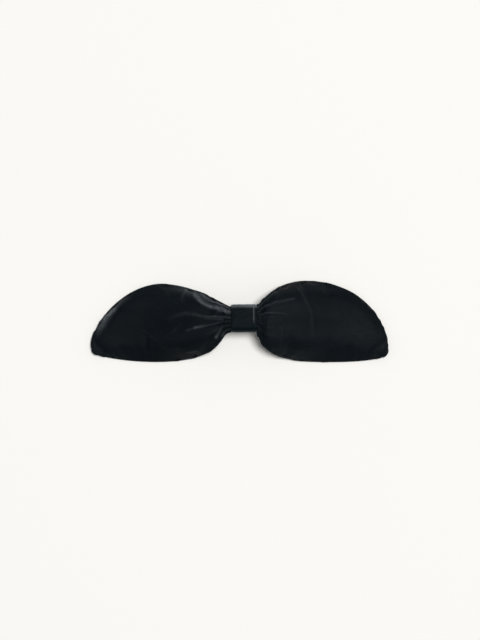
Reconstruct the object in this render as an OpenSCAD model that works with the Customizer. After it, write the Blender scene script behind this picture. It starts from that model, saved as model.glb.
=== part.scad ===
// Velvet hair bow on an arched barrette clip, lying face up on a table.
// Millimetres. X runs along the bow, Y across it, and Z out of its face.
// The origin is on the table, under the middle of the bow's outline.

/* [Lobes] */
// Thickness of a stuffed lobe over its middle
lobe_thickness = 4.4; // [4:0.1:4.6]
// Thickness of a lobe along its sewn rim
rim_thickness = 2.4; // [2.2:0.1:2.8]
// Thickness of one velvet panel, pile included
panel_thickness = 1.0; // [0.8:0.1:1.1]
// Diameter of the sewing thread in the rim seam
seam_thread = 0.4; // [0.3:0.05:0.5]

/* [Knot] */
// Width of the knot band along the bow
band_width = 17.8; // [14:0.2:18.2]
// Height of the knot band's front across the bow
band_height = 19.2; // [18.6:0.2:21]
// Thickness of the folded velvet band
band_thickness = 0.9; // [0.7:0.1:1]
// Number of turns of thread that bind the gathers
binding_turns = 5; // [3:1:7]
// Number of hand stitches that close the band
closing_stitches = 5; // [3:1:6]

/* [Clip] */
// Length of the clip's back plate
clip_length = 80; // [80:1:82]
// Width of the back plate
plate_width = 8; // [7.8:0.1:8.4]
// Thickness of the back plate
plate_thickness = 0.7; // [0.6:0.1:0.8]
// Radius that the back plate is arched to
plate_radius = 160; // [158:1:164]
// Width of the clasp arm
arm_width = 5; // [4:0.5:6]
// Thickness of the clasp arm
arm_thickness = 0.8; // [0.6:0.1:0.8]
// Radius that the clasp arm is arched to
arm_radius = 340; // [330:5:360]
// Width of the tension bar
bar_width = 4; // [3:0.5:4]
// Thickness of the tension bar
bar_thickness = 0.4; // [0.3:0.05:0.4]

/* [Hidden] */

$fn = 48;
gap = 0.12;                  // between the arched back plate and the flat plates riveted to it
big = 60;                    // longer than any cut

// The knot's centre, which is also the clip's centre
knot = [3, 2.1];
plate_crown = 14.4;          // top of the back plate at its middle, above the table

// Outline of each lobe: two Bezier curves from the knot to the tip along each edge
left_upper = [[[-7, 10.4], [-21.5, 18], [-36.5, 26.3], [-55, 26.3]],
              [[-55, 26.3], [-83, 26.3], [-109.3, -7.5], [-103, -22.5]]];
left_lower = [[[-7, -7.8], [-15, -9.5], [-9.5, -28.4], [-58.5, -28.4]],
              [[-58.5, -28.4], [-77.5, -28.4], [-97, -25], [-103, -22.5]]];
right_upper = [[[13, 12], [20.5, 21.5], [32, 28.5], [46, 28.5]],
               [[46, 28.5], [81, 28.5], [104.5, 5], [104, -23.5]]];
right_lower = [[[13, -11], [17.5, -25.5], [36.5, -28.5], [60, -28.5]],
               [[60, -28.5], [80.5, -28.5], [96.5, -27.5], [104, -23.5]]];

// A lobe's height above the table, and where it bends beside the knot
ridge_low = 3.2;             // middle of the lobe at the tip
ridge_rise = 15.4;           // how much higher it is at the knot
ridge_half = 48;             // where it has come halfway down, from the knot
ridge_slope = 13;            // how gradually it comes down
edge_rise = 15.2;            // how much higher the rim is at the knot than on the table
edge_half = 23;              // where the rim has come halfway down
edge_slope = 4;              // how quickly it comes down
neck_start = 13.2;           // the flex axis, from the knot's centre
neck_radius = 3.3;           // half thickness of the gathers there
neck_fade = 12;              // how quickly the gathers thin out
rib_count = 24;              // ribs along a lobe
cross_count = 14;            // points across a lobe

function bezier(p, t) =
    pow(1 - t, 3) * p[0] + 3 * pow(1 - t, 2) * t * p[1] + 3 * (1 - t) * t * t * p[2] + pow(t, 3) * p[3];
function curve_point(edge, s) = s < 0.5 ? bezier(edge[0], 2 * s) : bezier(edge[1], 2 * s - 1);

// The two edges of a lobe meet in a rounded corner: past corner_start they share one curve
corner_start = 0.94;
upper_end = 0.976;           // how far along the upper edge its own curve is used
lower_end = 0.933;           // how far along the lower edge its own curve is used
function own_end(edge) = edge == left_upper || edge == right_upper ? upper_end : lower_end;
function edge_point(edge, other, s) =
    let (a = curve_point(edge, own_end(edge)), b = curve_point(other, own_end(other)),
         q = (s - corner_start) / (1 - corner_start) / 2)
    s < corner_start ? curve_point(edge, s * own_end(edge) / corner_start)
                     : (1 - q) * (1 - q) * a + 2 * q * (1 - q) * edge[1][3] + q * q * b;
function from_knot(p) = abs(p[0] - knot[0]);
function ridge(u) = ridge_low + ridge_rise / (1 + exp((u - ridge_half) / ridge_slope));
function rim(u) = rim_thickness / 2 + edge_rise / (1 + exp((u - edge_half) / edge_slope));
function middle_z(p, v) = rim(from_knot(p)) + (ridge(from_knot(p)) - rim(from_knot(p))) * (1 - pow(v, 4));

// Half of the lobe's thickness at a point: round beside the knot, thin at the rim and at the tip
function crown(u) = lobe_thickness / 2 + (neck_radius - lobe_thickness / 2) * exp(-(u - neck_start) / neck_fade);
function neck(u) = u < neck_start ? sqrt(max(0.6, pow(neck_radius, 2) - pow(neck_start - u, 2))) : crown(u);
function half_out(u, s, v) =
    u < neck_start ? neck(u) * sqrt(1 - 0.8 * v * v)
                   : rim_thickness / 2 + (neck(u) - rim_thickness / 2) * sqrt(1 - v * v) * sqrt(1 - pow(s, 8));
function half_in(u, s, v) = max(seam_thread / 2, half_out(u, s, v) - panel_thickness);

// Where the ribs and the points across them lie; both crowd together towards the rim and the tip
function rib_at(i) = 0.99 * sin(90 * pow(i / (rib_count - 1), 0.9));
function cross_at(j) = sin(90 * (2 * j / (cross_count - 1) - 1));
function plan_point(a, b, s, v) = edge_point(a, b, s) * (1 - v) / 2 + edge_point(b, a, s) * (1 + v) / 2;

// One sheet of points over a lobe, less some ribs at each end and some points at each edge.
// side is +1 or -1 for above or below the lobe's middle
function sheet(a, b, neck_skip, tip_skip, edge_skip, side, inset, outer) = [
    for (i = [neck_skip:rib_count - 1 - tip_skip], j = [edge_skip:cross_count - 1 - edge_skip])
        let (s = rib_at(i), v = cross_at(j), p = plan_point(a, b, s, v), u = from_knot(p),
             h = outer ? half_out(u, s, v) : half_in(u, s, v))
        [p[0], p[1], middle_z(p, v) + side * (h - inset)]
];

// Closed solid between an upper and a lower sheet of points, nv of them across
module between_sheets(upper, lower, nv) {
    n = len(upper);
    nu = n / nv;
    rim_loop = concat(
        [for (i = [0:nu - 1]) i * nv],
        [for (j = [1:nv - 1]) (nu - 1) * nv + j],
        [for (i = [nu - 2:-1:0]) i * nv + nv - 1],
        [for (j = [nv - 2:-1:1]) j]
    );
    m = len(rim_loop);
    top = [for (i = [0:nu - 2], j = [0:nv - 2]) let (a = i * nv + j)
        each [[a, a + 1, a + nv + 1], [a, a + nv + 1, a + nv]]];
    bottom = [for (f = top) [n + f[0], n + f[2], n + f[1]]];
    wall = [for (k = [0:m - 1]) let (a = rim_loop[k], b = rim_loop[(k + 1) % m])
        each [[a, b, n + b], [a, n + b, n + a]]];
    polyhedron(concat(upper, lower), concat(top, bottom, wall));
}

module panel(a, b, side) {
    outer = sheet(a, b, 0, 0, 0, side, 0, true);
    inner = sheet(a, b, 0, 0, 0, side, 0, false);
    color("#15171a")
        between_sheets(side > 0 ? outer : inner, side > 0 ? inner : outer, cross_count);
}

module interlining(a, b) {
    neck_skip = 4;
    tip_skip = 8;
    edge_skip = 3;
    ease = 0.1;
    color("#3a3a3c")
        between_sheets(
            sheet(a, b, neck_skip, tip_skip, edge_skip, 1, ease, false),
            sheet(a, b, neck_skip, tip_skip, edge_skip, -1, ease, false),
            cross_count - 2 * edge_skip
        );
}

// Lockstitch that joins the two panels just inside the rim, from the knot round the tip and back
seam_v = 0.9;                // share of the half width at which it runs
seam_first = 2;              // rib that it starts and ends at
seam_last = rib_count - 8;   // rib that it turns at, near the tip

function middle_point(a, b, i, v) =
    let (p = plan_point(a, b, rib_at(i), v)) [p[0], p[1], middle_z(p, v)];
function seam_route(a, b) = concat(
    [for (i = [seam_first:seam_last]) middle_point(a, b, i, -seam_v)],
    [for (k = [1:5]) middle_point(a, b, seam_last + 0.4 * sin(30 * k), seam_v * (k / 3 - 1))],
    [for (i = [seam_last:-1:seam_first]) middle_point(a, b, i, seam_v)]
);

// Tube of a given radius along a list of points, one ring at each
module tube(route, radius, sides) {
    last = len(route) - 1;
    function along(i) = route[min(i + 1, last)] - route[max(i - 1, 0)];
    function across(d) = let (c = cross(d, [0, 0, 1])) c / norm(c);
    rings = [for (i = [0:last], k = [0:sides - 1])
        let (side = across(along(i)), up = cross(side, along(i) / norm(along(i))))
        route[i] + radius * (cos(360 * k / sides) * side + sin(360 * k / sides) * up)];
    walls = [for (i = [0:last - 1], k = [0:sides - 1])
        let (a = i * sides + k, b = i * sides + (k + 1) % sides)
        each [[a, a + sides, b + sides], [a, b + sides, b]]];
    first_cap = [for (k = [0:sides - 1]) k];
    last_cap = [for (k = [sides - 1:-1:0]) last * sides + k];
    polyhedron(rings, concat([first_cap, last_cap], walls));
}

module seam(a, b) {
    color("#1c1c1e")
        tube(seam_route(a, b), seam_thread / 2 - 0.06, 6);
}

module left_front_panel() { panel(left_upper, left_lower, 1); }
module left_back_panel() { panel(left_upper, left_lower, -1); }
module left_interlining() { interlining(left_upper, left_lower); }
module left_seam_thread() { seam(left_upper, left_lower); }
module right_front_panel() { panel(right_lower, right_upper, 1); }
module right_back_panel() { panel(right_lower, right_upper, -1); }
module right_interlining() { interlining(right_lower, right_upper); }
module right_seam_thread() { seam(right_lower, right_upper); }

// The knot. Its section is drawn in Y and Z and runs along X
shoulder_radius = 4.2;
heel_radius = 1.2;
band_top = plate_crown + 7.7;
band_bottom = plate_crown - 2;

module at_knot() { translate([knot[0], knot[1], 0]) children(); }

// Runs a Y-Z section along X, centred on the knot
module along_bow(length) {
    at_knot() translate([-length / 2, 0, 0]) rotate([90, 0, 90]) linear_extrude(length) children();
}

module knot_section(inset) {
    offset(delta = -inset) hull() {
        for (side = [-1, 1]) {
            translate([side * (band_height / 2 - shoulder_radius), band_top - shoulder_radius])
                circle(shoulder_radius, $fn = 40);
            translate([side * (plate_width / 2), band_bottom + heel_radius]) circle(heel_radius, $fn = 24);
        }
    }
}

// The part of the section that is above the back plate
module waist_section(inset) {
    intersection() {
        knot_section(inset);
        translate([-big / 2, plate_crown + inset - band_thickness - 0.05]) square([big, big]);
    }
}

module knot_band() {
    color("#131518") along_bow(band_width) difference() {
        knot_section(0);
        knot_section(band_thickness);
    }
}

module gathered_waist() {
    color("#17191c") along_bow(band_width - 0.4) waist_section(band_thickness + 0.75);
}

module binding_thread() {
    pitch = 1.6;
    thread = 0.5;
    color("#222224")
        for (i = [0:binding_turns - 1])
            translate([(i - (binding_turns - 1) / 2) * pitch, 0, 0])
                along_bow(thread) difference() {
                    waist_section(band_thickness + 0.1);
                    waist_section(band_thickness + 0.65);
                }
}

module band_stitches() {
    pitch = 2.6;
    radius = 0.22;
    reach = 2.2;
    color("#26262a")
        at_knot() for (i = [0:closing_stitches - 1])
            translate([(i - (closing_stitches - 1) / 2) * pitch, 1, band_bottom - radius - 0.03])
                rotate([90, 0, 28]) {
                    cylinder(r = radius, h = reach, center = true);
                    for (end = [-1, 1])
                        translate([0, 0, end * reach / 2]) sphere(radius);
                }
}

// The clip. Its pieces are drawn round the knot's centre
plate_inner = plate_radius - plate_thickness;
plate_under = plate_crown - plate_thickness;
hinge_at = -37;              // station of the hinge bracket along the back plate
catch_at = 36.2;             // station of the catch plate
hinge_rivet_x = 3.6;         // rivets, in the frames of those stations
catch_rivet_x = -4;
rivet_radius = 0.78;
rivet_hole = 0.8;
web_thickness = 0.6;
ear_thickness = 0.6;
ear_gap = 6.5;               // between the two ears
pin_at = [-35.4, 2.6];       // hinge pin, in X and Z
pin_radius = 0.6;
pin_hole = 0.62;
knuckle_bore = 0.65;
knuckle_radius = 1.45;
bar_pivot = [-36.1, 5.6];    // the tension bar's trunnions, in X and Z
trunnion_radius = 0.5;
trunnion_hole = 0.55;
bar_rise = 4.3;              // how much higher the bar's middle is than its ends
arm_low = 1.2;               // underside of the closed arm at the hinge pin

function sag(radius, x) = radius - sqrt(radius * radius - x * x);
// A point given in the frame of a station on the back plate's underside, in X and Z round the knot
function plate_point(station, x, z) =
    let (a = asin(station / plate_inner))
    [station + x * cos(a) + z * sin(a), plate_under - sag(plate_inner, station) - x * sin(a) + z * cos(a)];

module at_plate(station) {
    p = plate_point(station, 0, 0);
    translate([p[0], 0, p[1]]) rotate([0, asin(station / plate_inner), 0]) children();
}

// Strip arched in X and Z, with the top of its outer face at the height top
module arched_strip(outer, thickness, width, half_length, top) {
    half_angle = asin(half_length / outer);
    translate([0, 0, top - outer]) rotate([90, 0, 0]) rotate([0, 0, 90 - half_angle])
        rotate_extrude(angle = 2 * half_angle, $fn = 200)
            translate([outer - thickness, -width / 2]) square([thickness, width]);
}

function rounded_rectangle(x0, x1, width, r, steps = 5) = [
    for (c = [[x1 - r, width / 2 - r, 0], [x0 + r, width / 2 - r, 90],
              [x0 + r, r - width / 2, 180], [x1 - r, r - width / 2, 270]], k = [0:steps])
        [c[0] + r * cos(c[2] + 90 * k / steps), c[1] + r * sin(c[2] + 90 * k / steps)]
];

// Plate cut out of a plan outline
module plan(height = big) { translate([0, 0, -height / 2]) linear_extrude(height) children(); }

// Side view in X and Z, run across the clip from y0 to y1
module side_view(y0, y1) { translate([0, y1, 0]) rotate([90, 0, 0]) linear_extrude(y1 - y0) children(); }

module cross_pin(at, radius, length) {
    translate([at[0], 0, at[1]]) rotate([90, 0, 0]) cylinder(r = radius, h = length, center = true);
}

module back_plate() {
    color("silver") at_knot() difference() {
        intersection() {
            arched_strip(plate_radius, plate_thickness, plate_width, clip_length / 2, plate_crown);
            plan() polygon(rounded_rectangle(-clip_length / 2 + 0.1, clip_length / 2 - 0.1, plate_width - 0.02, 2.5));
        }
        at_plate(hinge_at) translate([hinge_rivet_x, 0, 0]) cylinder(r = rivet_hole, h = 6, center = true);
        at_plate(catch_at) translate([catch_rivet_x, 0, 0]) cylinder(r = rivet_hole, h = 6, center = true);
    }
}

module web(x0, x1, width) {
    translate([x0, -width / 2, -gap - web_thickness]) cube([x1 - x0, width, web_thickness]);
}

module hinge_bracket() {
    bracket_width = ear_gap + 2 * ear_thickness;
    foot = 1.6;
    color("gainsboro") at_knot() difference() {
        union() {
            at_plate(hinge_at) web(-2.7, 5.2, bracket_width);
            for (y = [ear_gap / 2, -ear_gap / 2 - ear_thickness])
                side_view(y, y + ear_thickness) polygon([
                    plate_point(hinge_at, -2.6, -gap - web_thickness / 2),
                    plate_point(hinge_at, 2.8, -gap - web_thickness / 2),
                    [pin_at[0] + 2.4, pin_at[1] + 1.6],
                    [pin_at[0] + 2.4, 1.2],
                    [pin_at[0] + foot, 0],
                    [pin_at[0] - foot, 0],
                    [pin_at[0] - 2.4, 1.2],
                ]);
        }
        at_plate(hinge_at) translate([hinge_rivet_x, 0, 0]) cylinder(r = rivet_hole, h = 6, center = true);
        cross_pin(pin_at, pin_hole, 12);
        cross_pin(bar_pivot, trunnion_hole, 12);
    }
}

module rivet(station, x) {
    under = -gap - web_thickness - 0.02;
    over = plate_thickness + 0.02;
    color("silver") at_knot() at_plate(station) translate([x, 0, 0]) {
        translate([0, 0, under]) cylinder(r = rivet_radius, h = over - under);
        translate([0, 0, over]) cylinder(r1 = 1.6, r2 = 1.1, h = 0.4);
        translate([0, 0, under - 0.3]) cylinder(r = 1.15, h = 0.3);
    }
}

module hinge_rivet() { rivet(hinge_at, hinge_rivet_x); }
module catch_rivet() { rivet(catch_at, catch_rivet_x); }

module hinge_pin() {
    shank = ear_gap + 2 * ear_thickness + 0.1;
    color("silver") at_knot() {
        cross_pin(pin_at, pin_radius, shank);
        for (side = [-1, 1])
            translate([pin_at[0], side * (shank / 2 + 0.15), pin_at[1]])
                rotate([90, 0, 0]) cylinder(r = 1.05, h = 0.3, center = true);
    }
}

// The catch: a plate riveted under the back plate, with a slotted end wall that the bar's tongue rests in
prong_length = 3.6;
prong_thickness = 0.6;
prong_y = 2.9;               // middle of each prong's blade
prong_pivot_z = -1.2;        // in the catch's frame
prong_pin = 0.3;
prong_hole = 0.34;
wall_x = 2.5;                // inner face of the end wall
wall_bottom = -5;
slot_low = -4.2;
slot_high = -1.4;

module catch_plate() {
    half_width = plate_width / 2 - 0.1;
    lug_low = -1.8;
    top = -gap - web_thickness / 2;
    color("gainsboro") at_knot() at_plate(catch_at) difference() {
        union() {
            web(-5.8, wall_x + web_thickness, 2 * half_width);
            translate([wall_x, -3.2, wall_bottom]) cube([web_thickness, 6.4, top - wall_bottom]);
            for (x = [-wall_x - web_thickness, wall_x], y = [-half_width, 2.3])
                translate([x, y, lug_low]) cube([web_thickness, half_width - 2.3, top - lug_low]);
        }
        translate([catch_rivet_x, 0, 0]) cylinder(r = rivet_hole, h = 6, center = true);
        translate([wall_x - 0.5, -bar_width / 2 - 0.3, slot_low])
            cube([2, bar_width + 0.6, slot_high - slot_low]);
        for (side = [-1, 1])
            translate([0, side * prong_y, prong_pivot_z]) rotate([0, 90, 0])
                cylinder(r = prong_hole, h = 12, center = true);
    }
}

// One sprung finger of the catch: it hangs on a pin between two lugs and passes through the arm's window
module prong(side) {
    color("silver") at_knot() difference() {
        at_plate(catch_at) mirror([0, side < 0 ? 1 : 0, 0]) {
            translate([0, prong_y, prong_pivot_z]) rotate([0, 90, 0]) {
                cylinder(r = 0.42, h = prong_length, center = true);
                cylinder(r = prong_pin, h = 2 * (wall_x + web_thickness), center = true);
            }
            translate([-prong_length / 2, prong_y - prong_thickness / 2, -12])
                cube([prong_length, prong_thickness, 12 + prong_pivot_z]);
            translate([-prong_length / 2, prong_y, -12])
                cube([prong_length, prong_thickness / 2 + 0.22, 3.1]);
        }
        translate([-big, -big / 2, -big]) cube([2 * big, big, big]);
    }
}

module upper_prong() { prong(1); }
module lower_prong() { prong(-1); }

module tension_bar() {
    outer = (pow(bar_pivot[0], 2) + pow(bar_rise, 2)) / (2 * bar_rise) + bar_thickness / 2;
    tongue_end = 39.2;
    color("silver") at_knot() {
        intersection() {
            arched_strip(outer, bar_thickness, bar_width + 1, 42, bar_pivot[1] + bar_rise + bar_thickness / 2);
            plan() polygon(rounded_rectangle(bar_pivot[0], tongue_end, bar_width, 0.6));
        }
        cross_pin(bar_pivot, trunnion_radius, ear_gap + 2 * ear_thickness);
    }
}

module clasp_arm() {
    arm_tip = 39;
    frame = [29.8, 9.6];     // where the catch frame starts, and its width
    window = [31.6, 36.9, 7];
    arm_top = arm_low + sag(arm_radius, pin_at[0]) + arm_thickness;
    color("silver") at_knot() difference() {
        union() {
            intersection() {
                arched_strip(arm_radius + arm_thickness, arm_thickness, 12, 41, arm_top);
                plan() difference() {
                    union() {
                        translate([pin_at[0], -arm_width / 2]) square([frame[0] - pin_at[0] + 1, arm_width]);
                        polygon(rounded_rectangle(frame[0], arm_tip, frame[1], 2));
                    }
                    translate([window[0], -window[2] / 2]) square([window[1] - window[0], window[2]]);
                }
            }
            cross_pin(pin_at, knuckle_radius, ear_gap - 0.3);
        }
        cross_pin(pin_at, knuckle_bore, 12);
    }
}

left_front_panel();
left_back_panel();
left_interlining();
left_seam_thread();
right_front_panel();
right_back_panel();
right_interlining();
right_seam_thread();
gathered_waist();
binding_thread();
knot_band();
band_stitches();
back_plate();
hinge_bracket();
hinge_rivet();
hinge_pin();
catch_plate();
catch_rivet();
upper_prong();
lower_prong();
tension_bar();
clasp_arm();
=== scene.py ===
import math

import bpy
import numpy as np
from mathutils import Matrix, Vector, noise


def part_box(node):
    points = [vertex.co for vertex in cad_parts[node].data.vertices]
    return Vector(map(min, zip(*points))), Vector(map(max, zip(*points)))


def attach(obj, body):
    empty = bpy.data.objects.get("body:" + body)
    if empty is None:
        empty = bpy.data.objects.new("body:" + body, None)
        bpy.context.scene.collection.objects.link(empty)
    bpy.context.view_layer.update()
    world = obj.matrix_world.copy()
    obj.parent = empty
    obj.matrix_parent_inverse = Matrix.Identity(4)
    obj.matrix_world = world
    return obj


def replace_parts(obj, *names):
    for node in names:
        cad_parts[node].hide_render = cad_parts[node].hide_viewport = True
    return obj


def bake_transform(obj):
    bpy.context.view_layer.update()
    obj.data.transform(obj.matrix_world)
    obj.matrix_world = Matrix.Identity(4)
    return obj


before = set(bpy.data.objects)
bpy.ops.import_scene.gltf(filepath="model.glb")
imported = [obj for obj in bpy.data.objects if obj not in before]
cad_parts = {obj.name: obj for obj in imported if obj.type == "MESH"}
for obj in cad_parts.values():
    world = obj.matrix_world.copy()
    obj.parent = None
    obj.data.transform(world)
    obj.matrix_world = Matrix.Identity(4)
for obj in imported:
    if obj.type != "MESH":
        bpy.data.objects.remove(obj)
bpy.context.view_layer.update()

# Everything below is worked out in millimetres in the part's own frame and turned into metres
# when a mesh is made. Only the light's place and size are given in metres.
# u is always the distance from the knot's centre along the bow.
MM = 0.001


def node_box(node):
    """Lowest and highest corner of a CAD node, in millimetres."""
    low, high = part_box(node)
    return np.array(low) / MM, np.array(high) / MM


band_low, band_high = node_box("knot_band")
KNOT_X, KNOT_Y = (band_low[:2] + band_high[:2]) / 2
BAND_HALF_WIDTH = (band_high[0] - band_low[0]) / 2
BAND_HALF_HEIGHT = (band_high[1] - band_low[1]) / 2
BAND_BOTTOM, BAND_TOP = band_low[2], band_high[2]
BAND_THICKNESS = 0.9
PLATE_TOP = node_box("back_plate")[1][2]
NECK_U = 10.0          # where a lobe's outline starts
FLEX_U = 13.2          # the lobes' flex axes
NECK_Z = 17.8          # middle of the gathers beside the band


# ---------------------------------------------------------------- meshes

def grid_faces(rows, columns, start=0, flip=False, close_rows=False, close_columns=False):
    """Quads over a grid of points that are numbered along its rows."""
    i = np.arange(rows - (not close_rows))
    j = np.arange(columns - (not close_columns))
    i, j = (k.ravel() for k in np.meshgrid(i, j, indexing="ij"))
    i2, j2 = (i + 1) % rows, (j + 1) % columns
    corners = [i * columns + j, i2 * columns + j, i2 * columns + j2, i * columns + j2]
    quads = np.stack(corners, axis=1) + start
    return (quads[:, ::-1] if flip else quads).tolist()


def shell_faces(rows, columns):
    """Faces of a closed solid between an upper and a lower grid, with a wall round them."""
    n = rows * columns
    border = (
        [i * columns for i in range(rows)]
        + [(rows - 1) * columns + j for j in range(1, columns)]
        + [i * columns + columns - 1 for i in range(rows - 2, -1, -1)]
        + [j for j in range(columns - 2, 0, -1)]
    )
    wall = [[n + a, n + b, b, a] for a, b in zip(border, border[1:] + border[:1])]
    return grid_faces(rows, columns) + grid_faces(rows, columns, start=n, flip=True) + wall


def make_piece(name, points, faces, look, body, smooth=True):
    """A mesh object that rides on a body, where one is given.

    points are in millimetres.
    """
    mesh = bpy.data.meshes.new(name)
    mesh.from_pydata((np.asarray(points, float).reshape(-1, 3) * MM).tolist(), [], faces)
    mesh.polygons.foreach_set("use_smooth", [smooth] * len(mesh.polygons))
    mesh.materials.append(look)
    piece = bpy.data.objects.new(name, mesh)
    bpy.context.scene.collection.objects.link(piece)
    if body:
        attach(piece, body)
    return piece


def paint_highlight(piece, share):
    """Sets how strong the painted highlight is at each vertex, in the attribute named pile: none where it is
    0, all of it where it is 1.
    """
    values = np.zeros(len(piece.data.vertices), np.float32)
    values[:np.size(share)] = np.clip(share, 0, 1).ravel()
    piece.data.attributes.new("pile", "FLOAT", "POINT").data.foreach_set("value", values)


def lean(points, direction):
    """How far a grid of points that are numbered along its rows faces a plan direction, from -1 to 1."""
    normal = np.cross(np.gradient(points, axis=0), np.gradient(points, axis=1))
    normal /= np.maximum(np.linalg.norm(normal, axis=-1, keepdims=True), 1e-9)
    upward = np.sign(normal[..., 2].sum())
    return upward * normal[..., :2] @ (np.array(direction) / np.hypot(*direction))


def soften(values, rounds):
    """A grid of values, each blended with its neighbours."""
    for _ in range(rounds):
        wide = np.pad(values, 1, mode="edge")
        values = (wide[:-2, 1:-1] + wide[2:, 1:-1] + wide[1:-1, :-2] + wide[1:-1, 2:] + 2 * values) / 6
    return values


def tube(path, radius, sides=8):
    """Points and faces of a tube with closed ends along a list of points."""
    path = np.asarray(path, float)
    along = np.gradient(path, axis=0)
    along /= np.linalg.norm(along, axis=1)[:, None]
    side = np.cross(along, [0.31, 0.17, 0.93])
    side /= np.linalg.norm(side, axis=1)[:, None]
    up = np.cross(side, along)
    angle = np.linspace(0, 2 * math.pi, sides, endpoint=False)[None, :, None]
    rings = path[:, None] + radius * (np.cos(angle) * side[:, None] + np.sin(angle) * up[:, None])
    faces = grid_faces(len(path), sides, close_columns=True, flip=True)
    last = (len(path) - 1) * sides
    faces += [list(range(sides)), list(range(last + sides - 1, last - 1, -1))]
    return rings.reshape(-1, 3), faces


def join(parts):
    """Several (points, faces) pairs as one."""
    points, faces, start = [], [], 0
    for p, f in parts:
        points.append(p)
        faces += [[start + i for i in face] for face in f]
        start += len(p)
    return np.concatenate(points), faces


def smooth_step(low, high, x):
    t = np.clip((np.asarray(x, float) - low) / (high - low), 0, 1)
    return t * t * (3 - 2 * t)


def ripple(points, size, seed):
    """Smooth noise from -1 to 1 at each point, about size millimetres from crest to crest."""
    flat = np.asarray(points, float)
    if flat.shape[-1] == 2:
        flat = np.concatenate([flat, np.zeros(flat.shape[:-1] + (1,))], axis=-1)
    scaled = flat.reshape(-1, 3) / size + seed * 17.3
    return np.array([noise.noise(Vector(p)) for p in scaled]).reshape(flat.shape[:-1])


def resample(line, count, closed=False):
    """The same line with count points at even distances."""
    line = np.asarray(line, float)
    if closed:
        line = np.concatenate([line, line[:1]])
    far = np.concatenate([[0], np.cumsum(np.linalg.norm(np.diff(line, axis=0), axis=1))])
    at = np.linspace(0, far[-1], count, endpoint=not closed)
    return np.stack([np.interp(at, far, line[:, k]) for k in range(line.shape[1])], axis=1)


def catmull(points, per_span=8):
    """A smooth line through given points."""
    p = np.array(points, float)
    p = np.concatenate([[2 * p[0] - p[1]], p, [2 * p[-1] - p[-2]]])
    line = []
    for k in range(1, len(p) - 2):
        for t in np.linspace(0, 1, per_span, endpoint=False):
            line.append(0.5 * (
                2 * p[k] + (p[k + 1] - p[k - 1]) * t
                + (2 * p[k - 1] - 5 * p[k] + 4 * p[k + 1] - p[k + 2]) * t * t
                + (3 * p[k] - p[k - 1] - 3 * p[k + 1] + p[k + 2]) * t ** 3
            ))
    return np.array(line + [p[-2]])


def distance_to(points, line):
    """Distance of plan points from a line, and how far along it the nearest place is, from 0 to 1."""
    best = np.full(points.shape[:-1], np.inf)
    where = np.zeros(points.shape[:-1])
    steps = len(line) - 1
    for k, (a, b) in enumerate(zip(line[:-1], line[1:])):
        d = b - a
        t = np.clip(((points - a) @ d) / max(d @ d, 1e-9), 0, 1)
        off = np.linalg.norm(points - a - t[..., None] * d, axis=-1)
        nearer = off < best
        best, where = np.where(nearer, off, best), np.where(nearer, (k + t) / steps, where)
    return best, where


# ---------------------------------------------------------------- materials

def material(name, base, roughness, **sockets):
    """A principled material whose constant values sit on the shader's own sockets."""
    made = bpy.data.materials.new(name)
    made.use_nodes = True
    shader = made.node_tree.nodes["Principled BSDF"]
    shader.inputs["Base Color"].default_value = (*base, 1)
    shader.inputs["Roughness"].default_value = roughness
    for socket, value in sockets.items():
        shader.inputs[socket.replace("_", " ")].default_value = value
    return made, made.node_tree, shader


def node(tree, kind, inputs=None, **settings):
    made = tree.nodes.new(kind)
    for key, value in settings.items():
        setattr(made, key, value)
    for key, value in (inputs or {}).items():
        if hasattr(value, "is_output"):
            tree.links.new(value, made.inputs[key])
        else:
            made.inputs[key].default_value = value
    return made


def object_space(tree, scale=(1, 1, 1), rotation=(0, 0, 0)):
    """The mesh's own coordinates in millimetres, stretched by scale."""
    where = node(tree, "ShaderNodeTexCoord")
    return node(tree, "ShaderNodeMapping", {
        "Vector": where.outputs["Object"], "Scale": tuple(s / MM for s in scale), "Rotation": rotation,
    }).outputs["Vector"]


def noise_texture(tree, space, size, detail=3, roughness=0.55, distortion=0):
    """Noise whose features are about size millimetres across."""
    return node(tree, "ShaderNodeTexNoise", {
        "Vector": space, "Scale": 1 / size, "Detail": detail,
        "Roughness": roughness, "Distortion": distortion,
    }).outputs["Fac"]


def ramp(tree, factor, *stops):
    """A colour ramp from (position, colour) stops, where a colour may be one grey value."""
    made = node(tree, "ShaderNodeValToRGB", {"Fac": factor})
    elements = made.color_ramp.elements
    while len(elements) < len(stops):
        elements.new(0.5)
    for element, (position, colour) in zip(elements, stops):
        element.position = position
        element.color = (*((colour,) * 3 if np.isscalar(colour) else colour), 1)
    return made.outputs["Color"]


def blend_colours(tree, kind, factor, a, b):
    made = node(tree, "ShaderNodeMix", data_type="RGBA", blend_type=kind)
    for socket, value in ((0, factor), (6, a), (7, b)):
        if hasattr(value, "is_output"):
            tree.links.new(value, made.inputs[socket])
        else:
            made.inputs[socket].default_value = value if socket == 0 else (*value, 1)
    return made.outputs[2]


def bump(tree, shader, *layers):
    """Bump from (height, distance in millimetres, strength) layers, the first one deepest."""
    normal = None
    for height, distance, strength in layers:
        inputs = {"Height": height, "Distance": distance * MM, "Strength": strength}
        if normal is not None:
            inputs["Normal"] = normal
        normal = node(tree, "ShaderNodeBump", inputs).outputs["Normal"]
    tree.links.new(normal, shader.inputs["Normal"])


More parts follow.
